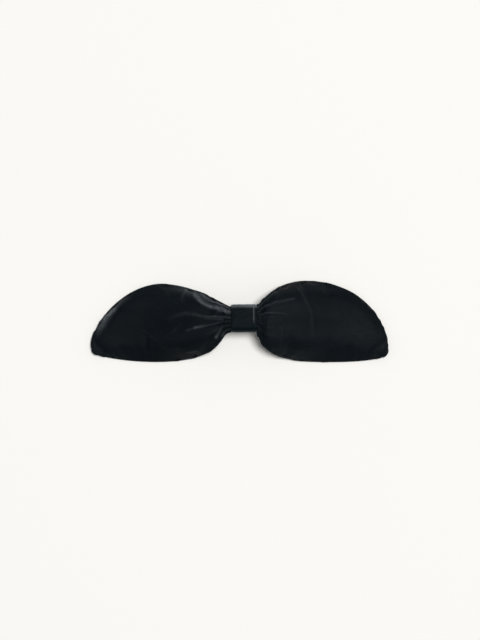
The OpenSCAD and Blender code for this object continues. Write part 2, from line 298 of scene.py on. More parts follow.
def velvet(name, dark, light, highlight_tint, nap_turn):
    """Short-pile velvet: nearly black, with a cool sheen, and a painted highlight mixed into its colour
    where the attribute named pile says so."""
    made, tree, shader = material(
        name, dark, 0.6, Sheen_Weight=0.8, Sheen_Roughness=0.2, Sheen_Tint=(0.62, 0.78, 0.92, 1),
        Specular_IOR_Level=0.06,
    )
    space = object_space(tree)
    nap_space = object_space(tree, (1, 3.2, 1), (0, 0, nap_turn))
    brushed = noise_texture(tree, nap_space, 46, detail=2, distortion=0.6)
    pile = noise_texture(tree, space, 0.32, detail=4, roughness=0.7)
    clumps = noise_texture(tree, space, 2.2, detail=3, roughness=0.6)
    nap = ramp(tree, brushed, (0.36, dark), (0.66, light))
    grainy = blend_colours(tree, "MULTIPLY", 0.6, nap, ramp(tree, pile, (0.3, 0.45), (0.7, 1.5)))
    mottled = blend_colours(tree, "MULTIPLY", 0.5, grainy, ramp(tree, clumps, (0.35, 0.75), (0.65, 1.2)))
    # Painted highlight: the attribute named pile mixes a light tint into the base colour, broken up by noise.
    highlight_mask = node(tree, "ShaderNodeAttribute", attribute_name="pile").outputs["Fac"]
    broken = ramp(tree, noise_texture(tree, space, 1.1, detail=3), (0.32, 0.55), (0.62, 1.0))
    share = node(tree, "ShaderNodeMath", {0: highlight_mask, 1: broken}, operation="MULTIPLY").outputs[0]
    tree.links.new(blend_colours(tree, "MIX", share, mottled, highlight_tint), shader.inputs["Base Color"])
    tree.links.new(ramp(tree, clumps, (0.3, 0.52), (0.7, 0.66)), shader.inputs["Roughness"])
    bump(tree, shader, (clumps, 0.1, 0.3), (pile, 0.05, 0.4))
    return made


def yarn(name, dark, light):
    """Twisted sewing thread: fine slanting plies with a little fuzz."""
    made, tree, shader = material(name, dark, 0.6, Sheen_Weight=0.3, Sheen_Roughness=0.5)
    plies = node(tree, "ShaderNodeTexWave", {
        "Vector": object_space(tree, rotation=(0.5, 0.6, 0.8)), "Scale": 2.6, "Distortion": 1.2, "Detail": 2,
    }).outputs["Fac"]
    fuzz = noise_texture(tree, object_space(tree), 0.12, detail=4, roughness=0.7)
    shade = ramp(tree, plies, (0.2, dark), (0.8, light))
    fuzzy = blend_colours(tree, "MULTIPLY", 0.5, shade, ramp(tree, fuzz, (0.3, 0.6), (0.7, 1.3)))
    tree.links.new(fuzzy, shader.inputs["Base Color"])
    tree.links.new(ramp(tree, fuzz, (0.3, 0.5), (0.7, 0.75)), shader.inputs["Roughness"])
    bump(tree, shader, (plies, 0.05, 0.7), (fuzz, 0.03, 0.4))
    return made


def felt(name, dark, light):
    """Needled interlining: short matted fibres."""
    made, tree, shader = material(name, dark, 0.92, Sheen_Weight=0.25, Sheen_Roughness=0.6)
    fibres, crossed = (
        noise_texture(tree, object_space(tree, stretch, (0, 0, turn)), 1.5, 6, 0.75, 1.5)
        for stretch, turn in (((1, 5, 5), 0), ((5, 1, 5), 0.6))
    )
    both = node(tree, "ShaderNodeMath", {0: fibres, 1: crossed}, operation="MAXIMUM").outputs[0]
    tree.links.new(ramp(tree, both, (0.42, dark), (0.72, light)), shader.inputs["Base Color"])
    tree.links.new(ramp(tree, both, (0.4, 0.98), (0.75, 0.82)), shader.inputs["Roughness"])
    bump(tree, shader, (both, 0.3, 0.7))
    return made


def plated_steel(name, base, roughness, grain, wear):
    """Nickel-plated sheet steel: rolled along grain, with fine scratches and rubbed spots."""
    made, tree, shader = material(name, base, roughness, Metallic=1.0)
    rolled = noise_texture(tree, object_space(tree, grain), 2.6, detail=5, roughness=0.6)
    scratched = object_space(tree, (0.12, 1.6, 1.6), (0, 0, 0.35))
    scratches = noise_texture(tree, scratched, 0.6, detail=3, roughness=0.5)
    cloud = noise_texture(tree, object_space(tree), 5.5, detail=4, roughness=0.6)
    warm = tuple(c * f for c, f in zip(base, (0.86, 0.82, 0.74)))
    tone = ramp(tree, cloud, (0.35, base), (0.72, warm))
    lines = ramp(tree, scratches, (0.5, 1.0), (0.62, 1.0 - wear), (0.66, 1.0))
    lined = blend_colours(tree, "MULTIPLY", 1.0, tone, lines)
    brushed = blend_colours(tree, "MULTIPLY", 1.0, lined, ramp(tree, rolled, (0.3, 0.9), (0.7, 1.06)))
    tree.links.new(brushed, shader.inputs["Base Color"])
    smudged = ramp(tree, cloud, (0.3, roughness), (0.75, roughness + 0.16))
    rough = blend_colours(tree, "ADD", 0.35, smudged, ramp(tree, rolled, (0.35, 0.0), (0.75, 0.3)))
    tree.links.new(rough, shader.inputs["Roughness"])
    bump(tree, shader, (rolled, 0.012, 0.5), (scratches, 0.01, 0.4))
    return made


# Tint of the painted highlight on the velvet.
PAINTED_HIGHLIGHT_TINT = (0.135, 0.148, 0.165)
VELVET = velvet("lobe_velvet", (0.0022, 0.0042, 0.0062), (0.0036, 0.0062, 0.0086), PAINTED_HIGHLIGHT_TINT, 0.35)
BACK_VELVET = velvet("lobe_back_velvet", (0.0015, 0.0033, 0.0052), (0.0030, 0.0054, 0.0078), PAINTED_HIGHLIGHT_TINT, -0.5)
BAND_VELVET = velvet("knot_velvet", (0.0006, 0.0034, 0.0050), (0.0018, 0.0060, 0.0078), PAINTED_HIGHLIGHT_TINT, 1.45)
THREAD = yarn("sewing_thread", (0.010, 0.011, 0.013), (0.034, 0.036, 0.040))
FELT = felt("interlining_felt", (0.024, 0.025, 0.028), (0.085, 0.086, 0.092))
STAMPED = plated_steel("stamped_nickel", (0.62, 0.60, 0.565), 0.30, (0.3, 3, 3), 0.28)
SPRING = plated_steel("spring_nickel", (0.56, 0.55, 0.535), 0.24, (0.2, 4, 4), 0.2)
RIVET = plated_steel("rivet_nickel", (0.66, 0.645, 0.61), 0.26, (1, 1, 1), 0.2)

for names, look in (
    (("back_plate", "hinge_bracket", "catch_plate", "clasp_arm"), STAMPED),
    (("tension_bar", "upper_prong", "lower_prong"), SPRING),
    (("hinge_rivet", "catch_rivet", "hinge_pin"), RIVET),
):
    for name in names:
        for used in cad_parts[name].material_slots:
            used.material = look


# ---------------------------------------------------------------- lobes

# Outline of each lobe, as in the CAD model: two Bezier curves from the knot to the tip along each edge
OUTLINES = {
    "left": {
        "upper": [[(-7, 10.4), (-21.5, 18), (-36.5, 26.3), (-55, 26.3)],
                  [(-55, 26.3), (-83, 26.3), (-109.3, -7.5), (-103, -22.5)]],
        "lower": [[(-7, -7.8), (-15, -9.5), (-9.5, -28.4), (-58.5, -28.4)],
                  [(-58.5, -28.4), (-77.5, -28.4), (-97, -25), (-103, -22.5)]],
    },
    "right": {
        "upper": [[(13, 12), (20.5, 21.5), (32, 28.5), (46, 28.5)],
                  [(46, 28.5), (81, 28.5), (104.5, 5), (104, -23.5)]],
        "lower": [[(13, -11), (17.5, -25.5), (36.5, -28.5), (60, -28.5)],
                  [(60, -28.5), (80.5, -28.5), (96.5, -27.5), (104, -23.5)]],
    },
}
# The two edges meet in a rounded corner: past CORNER_START they share one curve
CORNER_START = 0.94
OWN_END = {"upper": 0.976, "lower": 0.933}
OTHER = {"upper": "lower", "lower": "upper"}
TIP_END = 0.997        # the last row across a lobe, just short of the tip
RIM_HALF = 1.15        # half thickness at the sewn rim
CROWN_HALF = 2.25      # half thickness over the middle of a lobe
NECK_HALF = 3.3        # half thickness of the gathers
CLOTH = 0.8            # thickness of the velvet
TUCK_U = 7.4           # how far the gathers reach in under the band
TUCK_HALF = 8.5        # half width of the gathers under the band
FLARE_U = (8.3, 9.6)   # where they widen from that to the lobe's outline
NECK_FADE = 12         # length over which the neck's extra thickness dies away
DOME_RISE = (9, 0.55)  # a lobe is at full thickness this far inside its rim: at most, and as a share of
                       # its half width
# How the lobes slope from the knot to the table: lowest height, rise towards the knot, the distance
# at which half of it is lost, and over what length
RIDGE_SLOPE = (3.2, 15.4, 48, 13)
RIM_SLOPE = (1.2, 15.2, 23, 4)


def bezier(p, t):
    p, t = np.array(p, float), np.asarray(t, float)[..., None]
    return (1 - t) ** 3 * p[0] + 3 * (1 - t) ** 2 * t * p[1] + 3 * (1 - t) * t * t * p[2] + t ** 3 * p[3]


def curve_point(edge, s):
    s = np.asarray(s, float)
    first, second = bezier(edge[0], np.clip(2 * s, 0, 1)), bezier(edge[1], np.clip(2 * s - 1, 0, 1))
    return np.where((s < 0.5)[..., None], first, second)


def edge_point(edges, which, s):
    """Plan points along one edge of a lobe, from the neck at s = 0 to the middle of the tip at s = 1."""
    s = np.asarray(s, float)
    own = curve_point(edges[which], s * OWN_END[which] / CORNER_START)
    a = curve_point(edges[which], OWN_END[which])
    b = curve_point(edges[OTHER[which]], OWN_END[OTHER[which]])
    q = np.clip((s - CORNER_START) / (1 - CORNER_START) / 2, 0, 1)[..., None]
    corner = (1 - q) ** 2 * a + 2 * q * (1 - q) * np.array(edges[which][1][3]) + q * q * b
    return np.where((s < CORNER_START)[..., None], own, corner)


def slope_z(u, slope):
    low, rise, halfway, length = slope
    return low + rise / (1 + np.exp((u - halfway) / length))


class Lobe:
    """Points over one lobe: rows run across it, from under the band (row 0) to the tip.

    v runs across from -1 at the upper edge to 1 at the lower one, s along from the neck to the tip.
    """

    def __init__(self, side, rows, columns, tuck_rows):
        self.side = side
        self.toward = -1 if side == "left" else 1
        self.edges = OUTLINES[side]
        t = np.linspace(0, 1, rows)
        s = TIP_END * (0.6 * t + 0.4 * np.sin(t * math.pi / 2))
        x = np.linspace(-1, 1, columns)
        self.v = 0.45 * x + 0.55 * np.sin(x * math.pi / 2)
        a, b = edge_point(self.edges, "upper", s), edge_point(self.edges, "lower", s)
        tuck = np.linspace(TUCK_U, NECK_U, tuck_rows, endpoint=False)
        middle, half = (a[0, 1] + b[0, 1]) / 2, (a[0, 1] - b[0, 1]) / 2
        flare = (np.clip(tuck, *FLARE_U) - FLARE_U[0]) / (FLARE_U[1] - FLARE_U[0])
        width = min(half, TUCK_HALF) + max(half - TUCK_HALF, 0) * np.sqrt(1 - (1 - flare) ** 2)
        middle = KNOT_Y + (middle - KNOT_Y) * smooth_step(TUCK_U + 0.6, NECK_U - 0.6, tuck)
        tuck_x = KNOT_X + self.toward * tuck
        a = np.concatenate([np.stack([tuck_x, middle + width], axis=1), a])
        b = np.concatenate([np.stack([tuck_x, middle - width], axis=1), b])
        self.along = np.concatenate([np.linspace(-0.05, 0, tuck_rows, endpoint=False), s])
        v = self.v[None, :, None]
        self.plan = a[:, None] * (1 - v) / 2 + b[:, None] * (1 + v) / 2
        self.u = np.abs(self.plan[..., 0] - KNOT_X)
        self.rows, self.columns = self.plan.shape[:2]
        far = np.linspace(0, 1, 160)
        upper, lower = edge_point(self.edges, "upper", far), edge_point(self.edges, "lower", far[::-1])
        inside = distance_to(self.plan, np.concatenate([upper, lower[1:]]))[0]
        self.row_half = np.linalg.norm(a - b, axis=1)[:, None] / 2
        across = (1 - np.abs(self.v[None])) * self.row_half
        self.inside = across + (inside - across) * smooth_step(NECK_U, NECK_U + 3, self.u)
        self.inside[:, [0, -1]] = 0
        self.inside[-1] = 0

    def middle(self):
        return middle_z(self.u, self.v[None])

    def half(self):
        """Half of the lobe's thickness: a rounded rim, a soft crown, and round gathers at the neck."""
        crown = CROWN_HALF + (NECK_HALF - CROWN_HALF) * np.exp(-np.clip(self.u - FLEX_U, 0, None) / NECK_FADE)
        crown = crown - 0.35 * smooth_step(NECK_U, TUCK_U + 1, self.u)
        rim = RIM_HALF * np.sqrt(1 - (1 - np.clip(self.inside / RIM_HALF, 0, 1)) ** 2)
        shoulder = np.minimum(DOME_RISE[0], DOME_RISE[1] * self.row_half)
        rise = np.clip(self.inside / shoulder, 0, 1)
        dome = np.sqrt(1 - self.v[None] ** 2) * rise * rise * (3 - 2 * rise)
        return rim + (crown - RIM_HALF) * dome


def middle_z(u, v):
    """Height of the seam's surface, halfway between the two panels."""
    rim = slope_z(u, RIM_SLOPE)
    z = rim + (slope_z(u, RIDGE_SLOPE) - rim) * (1 - v ** 4)
    return z + (NECK_Z - z) * smooth_step(13, NECK_U - 1, u)


# Folds of the front panels: points along the crest, its height and its half width at both ends, and
# the strength of its painted highlight at the start, halfway and at the end. The first ones are the gathers
# that fan out from the band, then come the long soft creases, and last a painted sheen where the surface is
# hardly raised.
FOLDS = {
    "left": [
        ([(-6, 6.4), (-11, 7.6), (-14, 8.6), (-21.5, 10.8), (-28, 14.3), (-31.5, 17.8)],
         (1.7, 1.2), (1.0, 1.7), (0.42, 0.6, 0.3)),
        ([(-7, 5.4), (-11, 6.5), (-15, 7.4)], (0.7, 0.3), (0.7, 0.9), (0.2, 0.38, 0.1)),
        ([(-27, 13), (-31, 16.2), (-32, 18.6), (-30.4, 21.8)],
         (0.6, 0.7), (1.2, 1.0), (0.15, 0.2, 0.3)),
        ([(-40.6, 13.8), (-39.6, 18), (-37, 22.6)], (0.6, 0.8), (1.3, 1.2), (0.02, 0.12, 0.3)),
        ([(-6, 2.6), (-11, 2.7), (-16, 3), (-24, 3.4), (-33, 5), (-40, 4.9), (-48, 2)],
         (1.5, 0.35), (0.9, 1.6), (0.2, 0.15, 0.03)),
        ([(-12, 1.2), (-20, 1.4), (-29, 2.2)], (0.8, 0.3), (0.7, 1.0), (0.15, 0.06, 0.02)),
        ([(-6, 0.2), (-14, -0.8), (-24, -2.8), (-31, -4.4)],
         (1.35, 1.0), (0.9, 1.2), (0.04, 0.12, 0.28)),
        ([(-30, -4.2), (-36.2, -6.1)], (0.7, 0.9), (1.0, 1.2), (0.2, 0.06, 0.16)),
        ([(-6, -2.6), (-11, -3.4), (-14.5, -6.4), (-17, -10.8)],
         (1.2, 0.7), (0.9, 1.3), (0.05, 0.1, 0.34)),
        ([(-6, -4.8), (-9.5, -6.4), (-12.5, -9.6)], (1.0, 0.5), (0.8, 1.1), (0.05, 0.12, 0.25)),
        ([(-13, -4.2), (-20, -7.4), (-26, -11)], (0.7, 0.2), (0.9, 1.5), (0.07, 0.05, 0)),
        ([(-6, 8.4), (-13, 11.6), (-20, 14.8), (-27, 19)], (0.9, 0.5), (0.8, 1.2), (0.35, 0.5, 0.4)),
        ([(-66.5, -7.5), (-60, -12.4), (-49.5, -20)], (0.35, 0.2), (1.1, 1.4), (0.01, 0.015, 0.02)),
        ([(-42, -3.5), (-44.6, -5.4), (-47, -8.5)], (0.45, 0.2), (1.1, 1.4), (0.01, 0.04, 0.03)),
        ([(-99, -10), (-95.4, -2.6), (-91.6, 4.4), (-86, 11.4), (-79, 17)],
         (0.05, 0.05), (2.8, 2.8), (0.05, 0.75, 0.12)),
    ],
    "right": [
        ([(12, 6.6), (17.6, 10), (25, 12.9), (37.5, 15.4)], (1.2, 0.45), (0.8, 1.0), (0.1, 0.12, 0.12)),
        ([(12, 4.3), (20, 5.8), (26, 5.6), (33, 4.8)], (1.1, 0.35), (0.8, 1.0), (0.08, 0.14, 0.04)),
        ([(12, 2.4), (20, 3), (28, 2.6)], (0.7, 0.2), (0.7, 1.0), (0.02, 0.03, 0.01)),
        ([(12, 9.3), (18, 14.5), (28, 22.5)], (0.6, 0.25), (0.8, 1.1), (0.2, 0.08, 0.1)),
        ([(12, -0.6), (20, -1.4), (28, -3.4)], (0.5, 0.12), (0.8, 1.6), (0.01, 0.01, 0)),
        ([(12, -4.2), (17, -8), (23, -13)], (0.55, 0.15), (0.8, 1.6), (0.02, 0.02, 0)),
        ([(40, 22.6), (45.6, 15), (49.8, 5), (50.4, -10)], (0.5, 0.2), (1.1, 1.4), (0.06, 0.03, 0.02)),
        ([(29.8, -4.6), (29, -12), (27.4, -18.8)], (0.3, 0.15), (0.9, 1.3), (0.02, 0.02, 0.015)),
    ],
}


def fold_shapes(lobe, folds):
    """What the folds add to the front panel's height, and the painted highlight along them."""
    total, highlight = np.zeros(lobe.u.shape), np.zeros(lobe.u.shape)
    wander = 0.4 * np.dstack([ripple(lobe.plan, 6, seed) for seed in (2.7, 5.9)])
    patchy = 1 + 0.55 * ripple(lobe.plan, 3.4, 9.3)
    for points, heights, widths, highlights in folds:
        off, along = distance_to(lobe.plan + wander, catmull(points))
        height, width = (first + (last - first) * along for first, last in (heights, widths))
        fade = smooth_step(1, 0.82, along) if heights[1] < 0.6 else smooth_step(1.04, 0.96, along)
        total += height * fade * np.exp(-(off / width) ** 1.7)
        total -= 0.35 * height * fade * np.exp(-(off / (2.4 * width)) ** 2)
        # Painted highlight along the crest of each fold.
        highlight += patchy * np.interp(along, (0, 0.5, 1), highlights) * np.exp(-(off / (0.75 * width)) ** 2)
    return total, highlight


PLEATS = 7.5                                   # number of pleats across a lobe
PLEAT_START = 9                                # distance from the knot at which they begin to die away
PLEAT_FADE = 7                                 # length over which they do
FRONT_PLEAT = {"left": 0.8, "right": 0.42}     # their height on each front panel
BACK_PLEAT = 0.6                               # and on both back panels
BACK_MOST = 0.5                                # how far a back panel's folds may stand out
HIGHLIGHT_FACING = (0.55, 0.85)                      # plan direction towards the light: fold flanks that face it get a painted highlight
FLANK_HIGHLIGHT = {"left": 0.26, "right": 0.08}     # strength of the painted highlight on a fold's steep flank that faces the light


def gathers(lobe, strength, seed):
    """Small pleats that fan out from the band and die away."""
    phase = math.pi * PLEATS * lobe.v[None] + 1.8 * ripple(lobe.plan, 14, seed) + seed
    crest = 0.5 + 0.5 * np.cos(phase)
    fade = np.exp(-np.clip(lobe.u - PLEAT_START, 0, None) / PLEAT_FADE)
    return strength * (crest ** 1.5 - 0.35) * fade


def lobe_surfaces(lobe):
    """Heights of the two panels' outer faces, and the painted highlight on the front one."""
    middle, half = lobe.middle(), lobe.half()
    loose = smooth_step(0.4, 5, lobe.inside)
    tight = smooth_step(0.2, 2.0, lobe.inside)
    puckered = smooth_step(0.1, 1.2, lobe.inside) * np.exp(-lobe.inside / 2.6)
    pucker = 0.3 * puckered * ripple(lobe.plan, 3.6, 7.9)
    folds, highlight = fold_shapes(lobe, FOLDS[lobe.side])
    front = (
        folds * tight
        + gathers(lobe, FRONT_PLEAT[lobe.side], 1.7) * tight
        + 0.5 * ripple(lobe.plan, 30, 2.1) * loose
        + 0.12 * ripple(lobe.plan, 10, 3.3) * loose
        + pucker
    )
    back = gathers(lobe, BACK_PLEAT, 4.1) * tight + 0.35 * ripple(lobe.plan, 26, 5.2) * loose + pucker
    back = np.clip(back, None, BACK_MOST)
    squeeze = 1 - 0.6 * smooth_step(NECK_U + 0.5, NECK_U - 1.4, lobe.u)
    front, back = middle + half + front * squeeze, middle - half - back * squeeze
    # Painted highlight on the steep fold flanks that face the light, on top of the one along the fold crests.
    facing = soften(lean(np.dstack([lobe.plan, front]), HIGHLIGHT_FACING), 2)
    flank = FLANK_HIGHLIGHT[lobe.side] * smooth_step(0.4, 1.0, facing) * smooth_step(0.6, 3.2, lobe.inside)
    highlight = highlight * squeeze * tight + flank
    return middle, front, back, highlight


# Cloth simulation, on a coarse closed copy of a lobe that is ten times life size
SIM_SCALE = 0.01       # metres in the simulation for each millimetre
SIM_FRAMES = 16
SIM_CAP = 1.1          # how far it may move a point, in millimetres
SIM_EASE = 0.05        # share by which the velvet is cut larger than the space it covers
SIM_GRID = (52, 34, 4)             # rows, columns and rows under the band
SIM_NECK_ROWS, SIM_TIP_ROWS = 6, 2  # rows held at each end
SIM_CLOTH = {
    "quality": 6, "mass": 0.25, "tension_stiffness": 18, "compression_stiffness": 18,
    "shear_stiffness": 6, "bending_stiffness": 1.2, "use_pressure": True,
    "uniform_pressure_force": 4, "shrink_min": -SIM_EASE,
}


def simulated_moves(side):
    """How far pressure and the eased velvet move a lobe's front and back, on a coarse Lobe."""
    lobe = Lobe(side, *SIM_GRID)
    middle, half = lobe.middle(), lobe.half()
    over = np.dstack([lobe.plan, middle + half])[:-1]
    under = np.dstack([lobe.plan, middle - half])[:-1]
    rings = np.concatenate([over, under[:, -2:0:-1]], axis=1)
    rows, around = rings.shape[:2]
    start = rings.reshape(-1, 3) * SIM_SCALE
    mesh = bpy.data.meshes.new("simulated_lobe")
    faces = grid_faces(rows, around, close_columns=True, flip=side == "right")
    mesh.from_pydata(start.tolist(), [], faces)
    cloth_object = bpy.data.objects.new("simulated_lobe", mesh)
    scene = bpy.context.scene
    scene.collection.objects.link(cloth_object)
    i, j = np.divmod(np.arange(rows * around), around)
    seam = (j == 0) | (j == lobe.columns - 1)
    held = seam | (i < SIM_NECK_ROWS) | (i >= rows - SIM_TIP_ROWS)
    pins = cloth_object.vertex_groups.new(name="held")
    pins.add(np.flatnonzero(held).tolist(), 1.0, "REPLACE")
    cloth = cloth_object.modifiers.new("cloth", "CLOTH")
    cloth.settings.vertex_group_mass = "held"
    for setting, value in SIM_CLOTH.items():
        setattr(cloth.settings, setting, value)
    cloth.settings.effector_weights.gravity = 0
    cloth.collision_settings.use_collision = False
    cloth.point_cache.frame_end = SIM_FRAMES
    for step in range(1, SIM_FRAMES + 1):
        scene.frame_set(step)
    settled = cloth_object.evaluated_get(bpy.context.evaluated_depsgraph_get()).data
    ended = np.empty(rows * around * 3)
    settled.vertices.foreach_get("co", ended)
    moves = (ended.reshape(-1, 3) - start) / SIM_SCALE
    scene.frame_set(1)
    bpy.data.objects.remove(cloth_object)
    far = np.linalg.norm(moves, axis=1)[:, None]
    moves *= SIM_CAP * np.tanh(far / SIM_CAP) / np.maximum(far, 1e-6)
    moves = moves.reshape(rows, around, 3)
    moves = np.concatenate([moves, moves[-1:]])
    front = moves[:, :lobe.columns]
    back = np.concatenate([moves[:, :1], moves[:, :lobe.columns - 2:-1]], axis=1)
    return lobe, front, back


def spread(coarse, moves, lobe):
    """Moves given on a coarse lobe, at the points of a finer one."""
    rows = np.interp(lobe.along, coarse.along, np.arange(coarse.rows))
    columns = np.interp(lobe.v, coarse.v, np.arange(coarse.columns))
    i, j = (np.clip(at.astype(int), 0, n - 2) for at, n in ((rows, coarse.rows), (columns, coarse.columns)))
    fi, fj = (rows - i)[:, None, None], (columns - j)[None, :, None]
    i, j = i[:, None], j[None]
    return (
        (moves[i, j] * (1 - fi) + moves[i + 1, j] * fi) * (1 - fj)
        + (moves[i, j + 1] * (1 - fi) + moves[i + 1, j + 1] * fi) * fj
    )


SEAM_GAP = 0.05        # half of the gap between a lobe's two panels at the seam


def panel(name, lobe, middle, outer, moves, look):
    """One velvet panel as a closed sheet, pile side out, with its seam allowance at the rim."""
    toward = 1 if outer.mean() > middle.mean() else -1
    depth = np.clip(toward * (outer - middle), 0, None)
    inner = middle + toward * np.maximum(depth - CLOTH, 0.06 * np.clip(depth, 0, 1))
    seam_gap = SEAM_GAP * toward
    faces_out = np.dstack([lobe.plan, outer + seam_gap]) + moves
    faces_in = np.dstack([lobe.plan, inner + 0.4 * seam_gap]) + moves
    over, under = (faces_out, faces_in) if toward > 0 else (faces_in, faces_out)
    faces = shell_faces(lobe.rows, lobe.columns)
    if lobe.side == "right":
        faces = [face[::-1] for face in faces]
    points = np.concatenate([over.reshape(-1, 3), under.reshape(-1, 3)])
    return make_piece(name, points, faces, look, None)


PAD_STEP = 2           # the pad's grid takes every second row and column of its lobe
PAD_NECK_ROWS, PAD_TIP_ROWS, PAD_EDGE_COLUMNS = 44, 26, 16    # left free round it
PAD_CLEAR = 0.12       # between the pad and the velvet
PAD_HALF = (0.1, 1.6)  # least and most half thickness away from its rounded edge
PAD_EDGE = 4           # grid steps over which its edge is rounded


def pad(name, lobe, middle, front, back):
    """The interlining: a felt pad with soft edges between the two panels of a lobe."""
    rows = slice(PAD_NECK_ROWS, lobe.rows - PAD_TIP_ROWS, PAD_STEP)
    columns = slice(PAD_EDGE_COLUMNS, lobe.columns - PAD_EDGE_COLUMNS, PAD_STEP)
    plan, low, high, level = (x[rows, columns] for x in (lobe.plan, back, front, middle))
    m, n = level.shape
    i, j = np.minimum(np.arange(m), np.arange(m)[::-1]), np.minimum(np.arange(n), np.arange(n)[::-1])
    edge = np.minimum(i[:, None], j[None])
    soft = np.sqrt(1 - (1 - np.clip(edge / PAD_EDGE, 0, 1)) ** 2)
    free = CLOTH + PAD_CLEAR
    matted = 0.05 * ripple(plan, 1.7, 3.1)
    over = level + soft * np.clip(high - level - free + matted, *PAD_HALF) + 0.04
    under = level - soft * np.clip(level - low - free - matted, *PAD_HALF) - 0.04
    faces = shell_faces(m, n)
    if lobe.side == "right":
        faces = [face[::-1] for face in faces]
    points = np.concatenate([np.dstack([plan, z]).reshape(-1, 3) for z in (over, under)])
    return make_piece(name, points, faces, FELT, f"{lobe.side}_lobe")


SEAM_V = 0.84          # share of the half width at which the lockstitch runs
SEAM_START, SEAM_TURN = (0.13, 0.86)
STITCH = 2.4           # length of one stitch
SEAM_THREAD = 0.13     # radius of the thread
SEAM_STEP = 0.4        # distance between points along it
SEAM_DIP = 0.1         # how far each stitch rises and dips


def seam_thread(lobe, between):
    """Lockstitch that joins the panels inside the rim, from the knot round the tip and back.

    between is a grid of points halfway between the two panels' outer faces.
    """
    first, turn = (np.abs(lobe.along - s).argmin() for s in (SEAM_START, SEAM_TURN))
    upper, lower = (np.abs(lobe.v - v).argmin() for v in (-SEAM_V, SEAM_V))
    line = np.concatenate([
        between[first:turn, upper], between[turn, upper:lower], between[turn:first:-1, lower],
    ])
    length = np.linalg.norm(np.diff(line, axis=0), axis=1).sum()
    line = resample(line, int(length / SEAM_STEP))
    line[:, 2] += SEAM_DIP * np.sin(np.arange(len(line)) * SEAM_STEP * 2 * math.pi / STITCH)
    points, faces = tube(line, SEAM_THREAD, 6)
    return make_piece(f"{lobe.side}_seam_stitches", points, faces, THREAD, f"{lobe.side}_lobe")


LOBE_GRID = (160, 110, 8)          # rows, columns and rows under the band
LEAST_HEIGHT = 0.05                # the moves push the underside no lower than this over the table


def make_lobe(side):
    """Both velvet panels, the seam's thread and the felt pad of one lobe."""
    lobe = Lobe(side, *LOBE_GRID)
    middle, front, back, highlight = lobe_surfaces(lobe)
    front_moves = back_moves = np.zeros((lobe.rows, lobe.columns, 3))
    coarse, *found = simulated_moves(side)
    front_moves, back_moves = (spread(coarse, moves, lobe) for moves in found)
    back_moves[..., 2] = np.maximum(back_moves[..., 2], np.minimum(LEAST_HEIGHT - back, 0))
    for part, outer, moves, look in (
        ("front", front, front_moves, VELVET), ("back", back, back_moves, BACK_VELVET),
    ):
        piece = panel(f"{side}_{part}_velvet", lobe, middle, outer, moves, look)
        if part == "front":
            paint_highlight(piece, highlight)
        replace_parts(piece, f"{side}_{part}_panel")
        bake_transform(piece)
    front_face = np.dstack([lobe.plan, front]) + front_moves
    back_face = np.dstack([lobe.plan, back]) + back_moves
    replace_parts(seam_thread(lobe, (front_face + back_face) / 2), f"{side}_seam_thread")
    felt_pad = pad(f"{side}_felt_pad", lobe, middle, front + np.minimum(front_moves[..., 2], 0),
                   back + np.maximum(back_moves[..., 2], 0))
    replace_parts(felt_pad, f"{side}_interlining")


for side in OUTLINES:
    make_lobe(side)


# ---------------------------------------------------------------- knot

# The band's section round the knot, in Y and Z: the outline round two wide and two narrow circles
SHOULDER_RADIUS = 4.2
HEEL_RADIUS = 1.2
HEEL_Y = 4.0


def knot_outline(inset, count, lowest=-math.inf):
    """Points round the knot at a depth under the band's face, with their outward directions."""
    circles = [(side * (BAND_HALF_HEIGHT - SHOULDER_RADIUS), BAND_TOP - SHOULDER_RADIUS, SHOULDER_RADIUS)
               for side in (-1, 1)]
    circles += [(side * HEEL_Y, BAND_BOTTOM + HEEL_RADIUS, HEEL_RADIUS) for side in (-1, 1)]
    angle = np.linspace(-math.pi / 2, 1.5 * math.pi, 721)[:-1]
    out = np.stack([np.cos(angle), np.sin(angle)], axis=1)
    supports = np.stack([out @ [y, z] + r for y, z, r in circles])
    centre = np.array([[y, z] for y, z, r in circles])[supports.argmax(axis=0)]
    radius = np.array([r for y, z, r in circles])[supports.argmax(axis=0)]
    edge = centre + radius[:, None] * out
    rich = resample(np.concatenate([edge, out], axis=1), count, closed=True)
    place, out = rich[:, :2], rich[:, 2:] / np.linalg.norm(rich[:, 2:], axis=1)[:, None]
    place = place - inset * out
    place[:, 1] = np.maximum(place[:, 1], lowest)
    return place + [KNOT_Y, 0], out


HEM_U = 6.6            # the turned hems show through as ridges this far from the middle
RIGHT_HEM, LEFT_HEM = (0.34, 0.5), (0.1, 0.6)      # their height and half width
BAND_CROWN = 0.16      # how far the strip bulges along its middle
EDGE_ROUND = 0.42      # radius of the strip's folded edges
BAND_POINTS = 220      # round the knot
LAP_Y = 1              # where the strip's ends lap behind, from the knot's middle
LAP_RISE = 0.175       # how far the lap stands out
FLARE_RISE = 0.5       # how far the strip's upper left corner flares out along the bow
HEM_HIGHLIGHT, SHOULDER_HIGHLIGHT = 0.42, 0.95               # strength of the painted highlight on the hem ridge and on the band's shoulders


def hem_ridge(over, at, hem):
    height, half_width = hem
    return height * np.exp(-((over - at) / half_width) ** 2)


def band_strip():
    """The strip's own section: offset along the bow, and depth under its face."""
    half = BAND_HALF_WIDTH - EDGE_ROUND
    over = np.linspace(-half, half, 64)
    face = BAND_CROWN * (1 - (over / half) ** 2) - 0.02
    face += hem_ridge(over, HEM_U, RIGHT_HEM) + hem_ridge(over, -HEM_U, LEFT_HEM)
    turn = np.linspace(90, -90, 8)[1:-1]
    turn = np.stack([np.cos(np.radians(turn)), np.sin(np.radians(turn))], axis=1)
    right = turn * EDGE_ROUND + [half, -EDGE_ROUND]
    left = (turn * [-1, 1])[::-1] * EDGE_ROUND + [-half, -EDGE_ROUND]
    under = np.stack([np.linspace(half, -half, 20), np.full(20, -2 * EDGE_ROUND)], axis=1)
    return np.concatenate([np.stack([over, face], axis=1), right, under, left])


